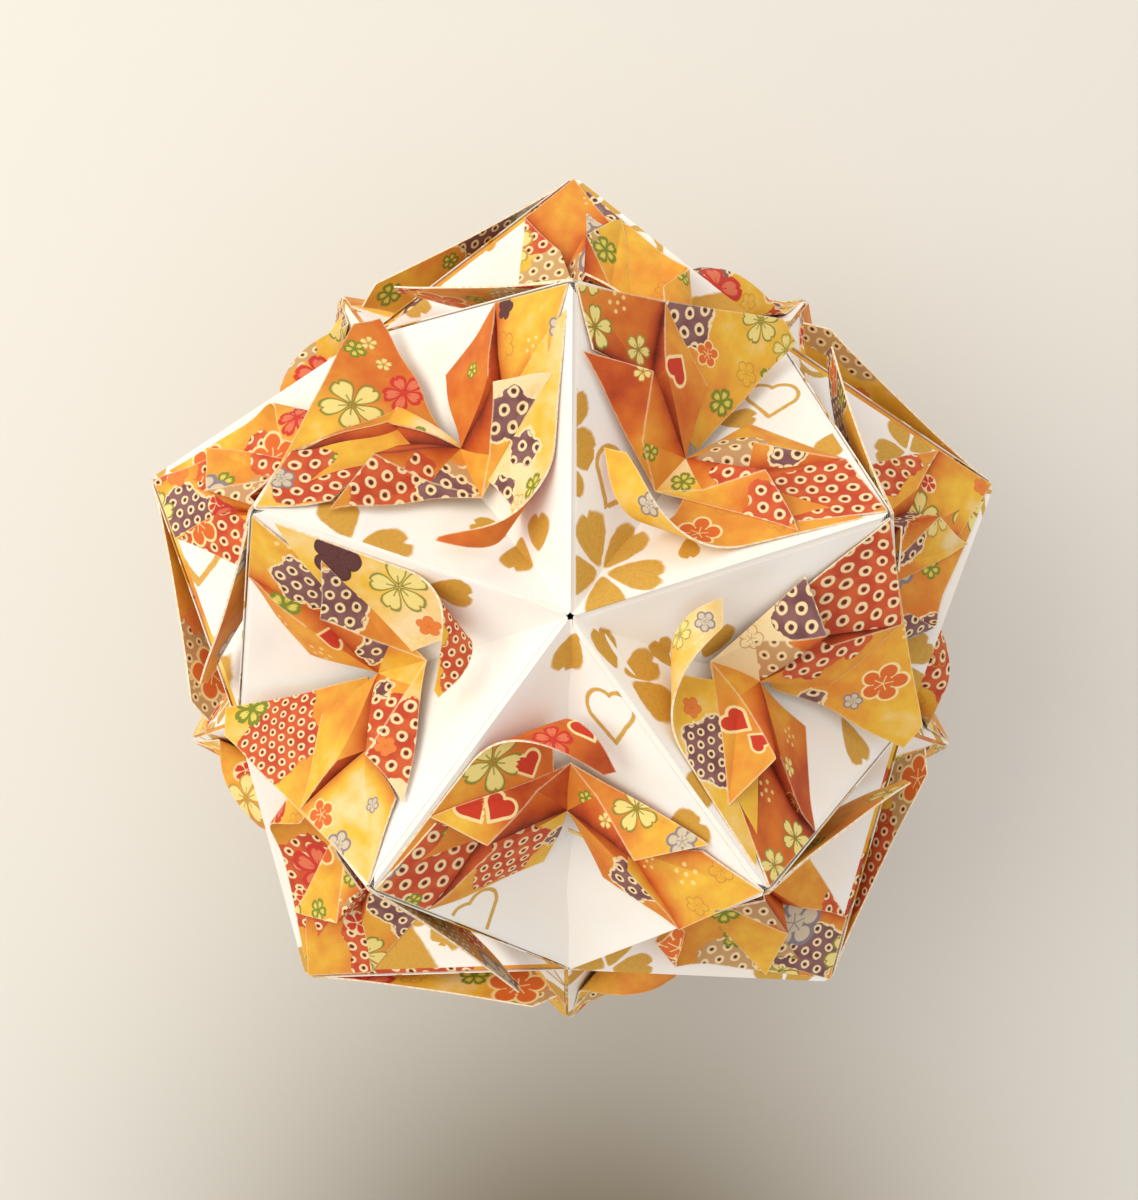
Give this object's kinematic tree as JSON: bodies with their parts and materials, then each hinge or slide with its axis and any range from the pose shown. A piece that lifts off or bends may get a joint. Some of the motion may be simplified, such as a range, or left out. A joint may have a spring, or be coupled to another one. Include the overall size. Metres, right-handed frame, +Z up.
{
  "type": "kusudama paper ball",
  "caption": "Folded paper ball of interlocking square units, each with a valley, two peaks, pleated wings, an open flap and a rolled flap.",
  "frame": {"origin": "under the ball's centre, at the level of its lowest corner", "axes": "+Z up along the five-fold axis through the top and bottom corners, +Y towards one of the outermost peaks"},
  "size_m": [0.13, 0.1366, 0.1153],
  "materials": {
    "folded_paper": "matte"
  },
  "bodies": {
    "root": {"top_cup_unit_1": "folded_paper", "top_cup_unit_2": "folded_paper", "top_cup_unit_3": "folded_paper", "top_cup_unit_4": "folded_paper", "top_cup_unit_5": "folded_paper", "upper_ring_unit_1": "folded_paper", "upper_ring_unit_2": "folded_paper", "upper_ring_unit_3": "folded_paper", "upper_ring_unit_4": "folded_paper", "upper_ring_unit_5": "folded_paper", "upper_waist_unit_1": "folded_paper", "upper_waist_unit_2": "folded_paper", "upper_waist_unit_3": "folded_paper", "upper_waist_unit_4": "folded_paper", "upper_waist_unit_5": "folded_paper", "lower_waist_unit_1": "folded_paper", "lower_waist_unit_2": "folded_paper", "lower_waist_unit_3": "folded_paper", "lower_waist_unit_4": "folded_paper", "lower_waist_unit_5": "folded_paper", "lower_ring_unit_1": "folded_paper", "lower_ring_unit_2": "folded_paper", "lower_ring_unit_3": "folded_paper", "lower_ring_unit_4": "folded_paper", "lower_ring_unit_5": "folded_paper", "bottom_cup_unit_1": "folded_paper", "bottom_cup_unit_2": "folded_paper", "bottom_cup_unit_3": "folded_paper", "bottom_cup_unit_4": "folded_paper", "bottom_cup_unit_5": "folded_paper"}
  },
  "joints": []
}
